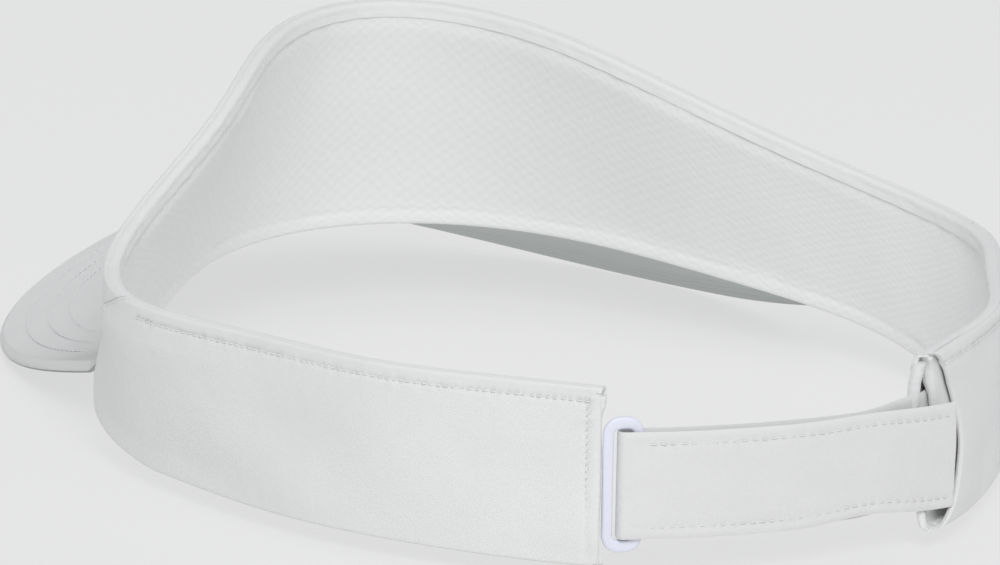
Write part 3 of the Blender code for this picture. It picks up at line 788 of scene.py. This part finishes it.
def brim_skin(name, first, last, material, slot_name, nodes):
    """Half of the brim's cover, from the root out and round the rolled edge.

    first and last are the angles round the edge between which this cover runs.
    """
    rows = 60
    even = np.linspace(-1.0, 1.0, 241)
    t = 0.35 * np.sin(even * math.pi / 2) + 0.65 * even
    root, _, ahead, length = brim_lines(t)
    roll = np.minimum(BRIM_ROLL, length / 3.0) * (0.55 + 0.45 * ease((1.0 - np.abs(t)) / 0.02))[:, None]

    def skin(inset):
        radius = roll - inset
        turn = np.radians(np.linspace(first, last, 12))
        flat = np.linspace(0.0, 1.0, rows)[:-1] ** 0.9
        level = roll - radius * math.cos(math.radians(first))
        top = length * (1 - flat) + roll * flat
        from_edge = np.concatenate((top, roll - radius * np.sin(turn)), axis=1)
        drop = np.concatenate((np.repeat(level, rows - 1, axis=1), roll - radius * np.cos(turn)), axis=1)
        return from_edge, drop

    outer, inside = skin(0.0), skin(BRIM_COVER)
    from_edge = np.concatenate((outer[0], inside[0][:, ::-1]), axis=1)
    drop = np.concatenate((outer[1], inside[1][:, ::-1]), axis=1)
    far = np.repeat(t[:, None], from_edge.shape[1], axis=1) * 90.0
    for number, inset in enumerate(BRIM_ROW_INSETS):
        reach = ease((0.97 - 0.05 * (number + 1) - np.abs(t))[:, None] / 0.05)
        sunk = 0.3 * np.exp(-((from_edge - inset) / 0.55) ** 2) * reach
        drop = drop + (sunk if first == 0.0 else -sunk)
    calm = ease(from_edge / 5.0)
    drop = drop + 0.12 * calm * ripple(far, from_edge, 22.0, 71)
    points = root[:, None, :] + (length - from_edge)[..., None] * ahead[:, None, :]
    points[..., 2] -= drop
    way_out = np.linspace(0.0, 62.0, outer[0].shape[1])
    round_ = np.concatenate((way_out, way_out[::-1]))
    item = tube(name, points, t * 120.0, round_, material)
    return finish_piece(item, "crown", slot_name, *nodes)


def make_brim():
    brim_skin("brim_top", 0.0, BRIM_SEAM, SHELL_CLOTH, "shell_cloth", ("brim_top_cover", "brim_board"))
    # The underside takes the grey copy of the cloth, with painted shade.
    brim_skin("brim_under", 180.0, BRIM_SEAM + 1.5, SHADED_UNDER_CLOTH, "brim_under_cloth", ("brim_bottom_cover",))
    for number, inset in enumerate(BRIM_ROW_INSETS, 1):
        reach = 0.955 - 0.05 * number
        t = np.linspace(-reach, reach, 500)
        _, edge, ahead, _ = brim_lines(t)
        points = edge - inset * ahead - np.array((0.0, 0.0, 0.2))
        normals = np.tile((0.0, 0.0, 1.0), (len(t), 1))
        item = stitches(f"brim_stitches_{number}", points, normals, BRIM_ROW_PITCH, 1.9, 0.13, 80 + number)
        finish_piece(item, "crown", "thread", f"brim_stitch_{number}")


# ---------------------------------------------------------------- slide loop and strap

LOOP_LENGTH = 7.4
LOOP_HEIGHT = 24.7
LOOP_BAR = 1.9
LOOP_THICKNESS = 1.3
LOOP_CORNER = 3.2
LOOP_END_EXTRA = 0.4             # the loop's end bars are this much wider than its long ones
LOOP_SOFTNESS = 0.62             # 1 would make the bars' section elliptical, 0 square
LOOP_Z = 14.35
LOOP_GAP = 0.12
STRAP_RADIUS = 118.0
TAPE_WIDTH = 19.5
TAPE = 0.7
TAPE_CLEARANCE = 0.45
PAD = 0.65
PAD_WIDTH = 15.0
STRAP_END_Z = 13.2
ROOT_DEPTH = 3.2
TWIST_LENGTH = 9.0
ROOT_RISE = 1.6
CLIMB_LENGTH = 16.0
TURN_SLACK = 1.3
TAIL_LENGTH = 34.0
TAIL_REACH = 6.0
BEND_START = 4.0                 # the peeled tail would start to bend this far past the loop's bar; here it only sets the gather's start
HOOK_LENGTH = 14.0
CORE_DEPTH = 1.4
PAD_GAP = 0.3                    # from each layer of the strap to its pad
FOLD_START = -LOOP_BAR / 2 - TURN_SLACK - 0.45
FOLD_FLATNESS = 0.62
STRAP_ROW = 2.2                  # the strap's stitch rows inside its edges
STRAP_PITCH = 1.9
STRAP_LIFT_AT = 44.0


class Closure:
    """Where the strap runs: an arc from the loop's free bar to the band's right end."""

    def __init__(self):
        self.bar_offset = TAPE_CLEARANCE + LOOP_THICKNESS / 2 + TAPE / 2
        hem = band_point(LEFT_END, 0.5, CORE_DEPTH)[:2]
        root = band_point(RIGHT_END, 0.5, ROOT_DEPTH)[:2]
        normal = plan_normal(LEFT_END, 0.5)
        heading = np.array((-normal[1], normal[0]))
        # The loop lines up with the arc's start, which depends on the loop: a few rounds settle it.
        for _ in range(6):
            outward = np.array((heading[1], -heading[0]))
            outward = outward * (1.0 if outward[1] > 0.0 else -1.0)
            self.near_bar = hem + heading * (LOOP_BAR / 2 + LOOP_GAP)
            self.bar = self.near_bar + heading * (LOOP_LENGTH - LOOP_BAR)
            start = self.bar - outward * self.bar_offset
            chord = root - start
            span = math.asin(np.linalg.norm(chord) / (2.0 * STRAP_RADIUS))
            side = np.array((chord[1], -chord[0])) / np.linalg.norm(chord)
            side = side * (-1.0 if side[1] > 0.0 else 1.0)
            self.centre = (start + root) / 2 + side * STRAP_RADIUS * math.cos(span)
            spoke = (start - self.centre) / np.linalg.norm(start - self.centre)
            heading = np.array((-spoke[1], spoke[0]))
        self.heading = heading
        self.outward = spoke
        self.length = STRAP_RADIUS * 2.0 * span
        self.start_angle = math.atan2(spoke[0], spoke[1])

    def point(self, along, height, outward=0.0):
        """along from the free bar, height from the strap's middle, outward from the inner layer."""
        along, height, outward = np.broadcast_arrays(*(np.asarray(v, float)
                                                       for v in (along, height, outward)))
        angle = self.start_angle - along / STRAP_RADIUS
        reach = STRAP_RADIUS + outward
        middle = LOOP_Z + (STRAP_END_Z - LOOP_Z) * along / self.length
        return np.stack((self.centre[0] + reach * np.sin(angle), self.centre[1] + reach * np.cos(angle),
                         middle + height), axis=-1)

    def spoke(self, along):
        angle = self.start_angle - np.asarray(along, float) / STRAP_RADIUS
        return np.stack((np.sin(angle), np.cos(angle), 0.0 * angle), axis=-1)


def tape_section(width, thickness):
    """(height, outward) points round a flat tape with soft edges, and the distance along it."""
    rows = 29
    even = np.linspace(-1.0, 1.0, rows)
    height = (np.sin(even * math.pi / 2) * 0.12 + even * 0.88) * width / 2
    edge = np.clip((width / 2 - np.abs(height)) / (thickness * 0.6), 0.0, 1.0)
    half = thickness / 2 * (0.3 + 0.7 * np.sqrt(1.0 - (1.0 - edge) ** 2))
    ring = np.concatenate((np.stack((height, half), axis=1), np.stack((height, -half), axis=1)[::-1]))
    return ring, np.concatenate((height, height[::-1])) + width


def make_loop(path):
    """Moulded ring with round corners and a softly rounded bar."""
    centre = (path.bar + path.near_bar) / 2
    pairs, normals = [], []
    middle_length, middle_height = LOOP_LENGTH - LOOP_BAR, LOOP_HEIGHT - LOOP_BAR
    corner = LOOP_CORNER - LOOP_BAR / 2
    for quarter, (sx, sy) in enumerate(((1, 1), (-1, 1), (-1, -1), (1, -1))):
        cx, cy = sx * (middle_length / 2 - corner), sy * (middle_height / 2 - corner)
        for a in np.radians(np.linspace(90.0 * quarter, 90.0 * quarter + 90.0, 24)):
            pairs.append((cx + corner * math.cos(a), cy + corner * math.sin(a)))
            normals.append((math.cos(a), math.sin(a)))
    pairs, normals = np.array(pairs), np.array(normals)
    turn = np.linspace(0.0, 2.0 * math.pi, 20, endpoint=False)
    wide = LOOP_BAR / 2 * np.sign(np.cos(turn)) * np.abs(np.cos(turn)) ** LOOP_SOFTNESS
    extra = LOOP_END_EXTRA * normals[:, 1] ** 2
    wide = wide[None, :] * (1.0 + extra / LOOP_BAR)[:, None] - extra[:, None] / 2
    thick = LOOP_THICKNESS / 2 * np.sign(np.sin(turn)) * np.abs(np.sin(turn)) ** LOOP_SOFTNESS
    flat = pairs[:, None, :] + normals[:, None, :] * wide[..., None]
    rings = np.empty((len(pairs), len(turn), 3))
    rings[..., :2] = centre + flat[..., :1] * path.heading + (thick[None, :, None]) * path.outward
    rings[..., 2] = LOOP_Z + flat[..., 1]
    item = tube("loop", rings, np.arange(len(pairs)) * 0.8, turn, PLASTIC, closed=True)
    finish_piece(item, "loop", "loop_plastic", "slide_loop")


def strap_outer(path, tail_end, outward):
    """Outer layer: the second half of the fold, then the tape to the tail's end, with sewn edges."""
    ring, round_ = tape_section(TAPE_WIDTH, TAPE)
    height, out = ring[:, 0], ring[:, 1]
    rings, along = [], []
    for angle in np.radians(np.linspace(90.0, 180.0, 9))[:-1]:
        rings.append(fold_ring(path, angle, height, out))
        along.append(FOLD_START - path.bar_offset * (math.pi - angle))
    rings = [np.array(rings)]
    s = FOLD_START + stations(tail_end - FOLD_START, 0.4, ease_over=1.0)[:, None]
    end = np.clip((tail_end - s) / 0.5, 0.0, 1.0)
    sewn = outward + 0.1 * ripple(s, height * 1.6, 17.0, 92) * ease((s - FOLD_START) / 4.0)
    for side in (-1.0, 1.0):
        row = sewn_row(height - side * (TAPE_WIDTH / 2 - STRAP_ROW), s, STRAP_PITCH, 91, 0.17, 0.1)
        sewn = sewn - row * ease((s - FOLD_START) / 2.0)
    thick = out * (0.35 + 0.65 * np.sqrt(1.0 - (1.0 - end) ** 2))
    rings.append(path.point(s, strap_height(s, height), sewn - thick))
    along = np.concatenate((along, s[:, 0]))
    return tube("strap_outer", np.concatenate(rings), along, round_, STRAP_CLOTH)


def strap_height(s, height):
    """The tape narrows and lifts a little where it crosses towards the pocket."""
    swell = np.exp(-((s - STRAP_LIFT_AT) / 10.0) ** 2)
    return height * (1.0 - 0.045 * swell) + 0.9 * swell


def pad(name, path, start, end, outward, material):
    ring, round_ = tape_section(PAD_WIDTH, PAD)
    s = start + stations(end - start, 1.0, ease_over=1.0)[:, None]
    near = np.clip(np.minimum(s - start, end - s) / 0.4, 0.0, 1.0)
    out = ring[:, 1] * (0.35 + 0.65 * np.sqrt(1.0 - (1.0 - near) ** 2))
    return tube(name, path.point(s, strap_height(s, ring[:, 0]), outward + out), s, round_, material)


def fold_ring(path, angle, height, out):
    """Ring of the tape where it folds past the free bar: 0 on the inner layer, pi on the outer."""
    spoke = path.spoke(FOLD_START)
    heading = np.array((-spoke[1], spoke[0], 0.0))
    aim = -spoke * math.cos(angle) - heading * math.sin(angle) * FOLD_FLATNESS
    ring = path.point(FOLD_START, 0.0, path.bar_offset) + aim * (path.bar_offset - out)[:, None]
    ring[:, 2] += height
    return ring


def strap_inner(path):
    """Inner layer of the strap from its root in the band, then round past the loop's free bar."""
    ring, round_ = tape_section(TAPE_WIDTH, TAPE)
    height, out = ring[:, 0], ring[:, 1]
    lean = -float(top_lean(math.radians(RIGHT_END))) / BAND_HEIGHT
    rings, along = [], []
    for into in np.linspace(8.0, 0.8, 7):
        degrees = RIGHT_END + math.degrees(into / float(bottom_radius(math.radians(RIGHT_END))))
        across = (STRAP_END_Z + ROOT_RISE + height) / BAND_HEIGHT
        rings.append(band_point(degrees, across, ROOT_DEPTH - out))
        along.append(path.length + into)
    for s in np.concatenate((np.linspace(path.length - 1.2, 0.0, 46), np.linspace(0.0, FOLD_START, 6)[1:])):
        twist = max(s - path.length + TWIST_LENGTH, 0.0) / TWIST_LENGTH * lean
        climb = ROOT_RISE * ease((s - path.length + CLIMB_LENGTH) / CLIMB_LENGTH)
        rings.append(path.point(s, height + climb, out - height * twist))
        along.append(s)
    for angle in np.radians(np.linspace(0.0, 90.0, 9))[1:]:
        rings.append(fold_ring(path, angle, height, out))
        along.append(FOLD_START - path.bar_offset * angle)
    item = tube("strap_inner", np.array(rings), np.array(along), round_, STRAP_CLOTH)
    in_frame(path.point(-1.0, 0.0, 0.1))
    in_frame(path.point(-1.0, 0.0, 0.8 * path.bar_offset))
    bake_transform(item)
    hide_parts("strap_base", "strap_turn", "strap_root_stitch")


def in_frame(point):
    return tuple((np.asarray(point) + SHIFT) * MM)


def make_strap(path):
    outer_layer = 2.0 * path.bar_offset
    tail_end = path.length + TAIL_REACH
    tail_start = tail_end - TAIL_LENGTH
    strap_inner(path)
    tail = strap_outer(path, tail_end, outer_layer)
    gather = {"start": in_frame(path.point(BEND_START, 0.0, outer_layer)),
              "end": in_frame(path.point(tail_start + 14.0, 0.0, outer_layer))}
    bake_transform(tail)
    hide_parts("strap_web", "strap_tail")
    face = outer_layer + TAPE / 2 - 0.08
    for name, side, node, seed in (("strap_stitches_upper", 1.0, "web_stitch", 93),
                                   ("strap_stitches_lower", -1.0, "tail_stitch", 94)):
        s = np.linspace(1.2, tail_end - 1.5, 160)
        points = path.point(s, strap_height(s, side * (TAPE_WIDTH / 2 - STRAP_ROW)), face)
        row = stitches(name, points, path.spoke(s), STRAP_PITCH, 1.5, 0.12, seed)
        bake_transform(row)
        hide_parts(node)
    pile = pad("pile_pad", path, 6.0, path.length - TWIST_LENGTH, TAPE / 2 + PAD_GAP + PAD / 2, PILE)
    finish_piece(pile, "crown", "pile_pad", "pile_patch")
    hook = pad("hook_pad", path, tail_start + 1.0, tail_start + 1.0 + HOOK_LENGTH,
               outer_layer - TAPE / 2 - PAD_GAP - PAD / 2, HOOK)
    finish_piece(hook, "strap_tail", "hook_pad", "hook_patch")


# ---------------------------------------------------------------- floor, light and camera

VIEW_AZIMUTH = 155.55
VIEW_ELEVATION = 14.01
VIEW_ROLL = 1.21
VIEW_DISTANCE = 1.4454
LENS = 278.9
TARGET = Vector((0.0, SHIFT[1] * MM, (25.0 + SHIFT[2]) * MM))
AIM_RIGHT = -0.01288             # from the target to the middle of the picture
AIM_UP = 0.00345

FLOOR_GREY = (0.22, 0.22, 0.22)
FLOOR_GLOW = 0.60                # the floor's own light keeps it pale, with only faint shadows
WORLD_COLOR = (0.96, 0.98, 1.0)
WORLD_STRENGTH = 0.49


def make_stage():
    bpy.ops.mesh.primitive_plane_add(size=12.0)
    floor = bpy.context.object
    floor.name = "floor"
    material, tree, shader = new_material("floor", FLOOR_GREY, 0.95)
    shader.inputs["Specular IOR Level"].default_value = 0.0
    shader.inputs["Emission Color"].default_value = (1.0, 1.0, 1.0, 1.0)
    shader.inputs["Emission Strength"].default_value = FLOOR_GLOW
    floor.data.materials.append(material)


def view_axes():
    a, e, r = (math.radians(v) for v in (VIEW_AZIMUTH, VIEW_ELEVATION, VIEW_ROLL))
    back = Vector((math.sin(a) * math.cos(e), -math.cos(a) * math.cos(e), math.sin(e)))
    level = Vector((math.cos(a), math.sin(a), 0.0))
    upright = back.cross(level)
    return back, math.cos(r) * level + math.sin(r) * upright, -math.sin(r) * level + math.cos(r) * upright


def make_camera():
    back, right, up = view_axes()
    place = TARGET + back * VIEW_DISTANCE
    aim = TARGET + right * AIM_RIGHT + up * AIM_UP
    out = (place - aim).normalized()
    side = up.cross(out).normalized()
    data = bpy.data.cameras.new("camera")
    data.lens = LENS
    data.sensor_width = 36.0
    data.clip_end = 50.0
    camera = bpy.data.objects.new("camera", data)
    turn = Matrix((side, out.cross(side), out)).transposed().to_4x4()
    camera.matrix_world = Matrix.Translation(place) @ turn
    bpy.context.scene.collection.objects.link(camera)
    bpy.context.scene.camera = camera


def area_light(name, place, size, power):
    data = bpy.data.lights.new(name, "AREA")
    data.shape = "DISK"
    data.size = size
    data.energy = power
    lamp = bpy.data.objects.new(name, data)
    lamp.location = place
    lamp.rotation_euler = (TARGET - Vector(place)).to_track_quat("-Z", "Y").to_euler()
    bpy.context.scene.collection.objects.link(lamp)


def make_lights():
    back, right, up = view_axes()
    area_light("key", TARGET + back * 2.4 + up * 1.1 + right * 0.25, 1.3, 31.0)
    area_light("fill", TARGET - right * 2.0 + up * 1.2 + back * 0.3, 2.0, 1.0)
    area_light("top", TARGET + Vector((0.0, 0.0, 2.4)), 2.6, 6.0)
    world = bpy.data.worlds.new("studio")
    world.use_nodes = True
    sky = world.node_tree.nodes["Background"]
    sky.inputs["Color"].default_value = (*WORLD_COLOR, 1.0)
    sky.inputs["Strength"].default_value = WORLD_STRENGTH
    bpy.context.scene.world = world
    bpy.context.scene.view_settings.view_transform = "Standard"


make_band()
make_facing()
make_lining()
make_binding()
make_band_stitches()
make_brim()
closure = Closure()
make_loop(closure)
make_strap(closure)
make_stage()
make_camera()
make_lights()
